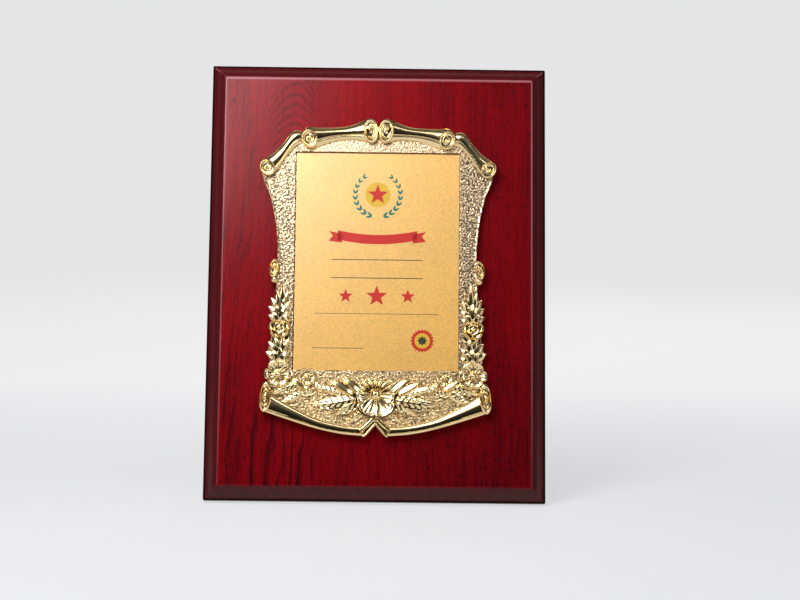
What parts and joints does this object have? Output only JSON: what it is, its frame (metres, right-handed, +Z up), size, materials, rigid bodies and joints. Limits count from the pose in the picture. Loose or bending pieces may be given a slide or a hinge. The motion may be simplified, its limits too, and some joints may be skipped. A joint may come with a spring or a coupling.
{
  "type": "wooden award plaque",
  "caption": "Bevelled wooden plaque with a gilt scroll frame and a blank gold plate, standing on a hinged easel leg, with a hanging ring.",
  "frame": {"origin": "on the table under the middle of the plaque's standing footprint", "axes": "+Z up, the face looks along -Y and leans back by 15 degrees, +X to the viewer's right"},
  "size_m": [0.23, 0.1044, 0.2916],
  "materials": {
    "lacquer": "dark brown-red satin lacquer on fibreboard",
    "wood_face": "glossy red rosewood-grain sheet",
    "liner": "black flocked backing sheet",
    "gilt": "bright gold-plated casting",
    "foam_tape": "white foam tape",
    "gold_plate": "fine sand-textured gold anodising",
    "adhesive": "clear adhesive film",
    "steel": "zinc-plated sheet steel",
    "screw_steel": "yellowish zinc-plated screws",
    "rubber": "matt black rubber"
  },
  "bodies": {
    "board": {"core_board": "lacquer", "face_laminate": "wood_face", "back_liner": "liner", "scroll_frame": "gilt", "frame_tape": "foam_tape", "inscription_plate": "gold_plate", "plate_adhesive": "adhesive", "hinge_fixed_leaf": "steel", "hinge_pin": "steel", "board_hinge_screws": "screw_steel", "hanger_strap": "steel", "hanger_screw": "screw_steel"},
    "leg": {"easel_leg": "lacquer", "leg_foot": "rubber", "hinge_moving_leaf": "steel", "leg_hinge_screws": "screw_steel"},
    "ring": {"hanger_ring": "steel"}
  },
  "joints": [
    {"name": "leg_fold", "type": "hinge", "parent": "board", "child": "leg", "pos_m": [0, 0.014, 0.18732], "axis": [1, 0, 0], "range_deg": [-26, 0]},
    {"name": "ring_swing", "type": "hinge", "parent": "board", "child": "ring", "pos_m": [0, 0.03121, 0.25621], "axis": [1, 0, 0], "range_deg": [-9, 160]}
  ]
}
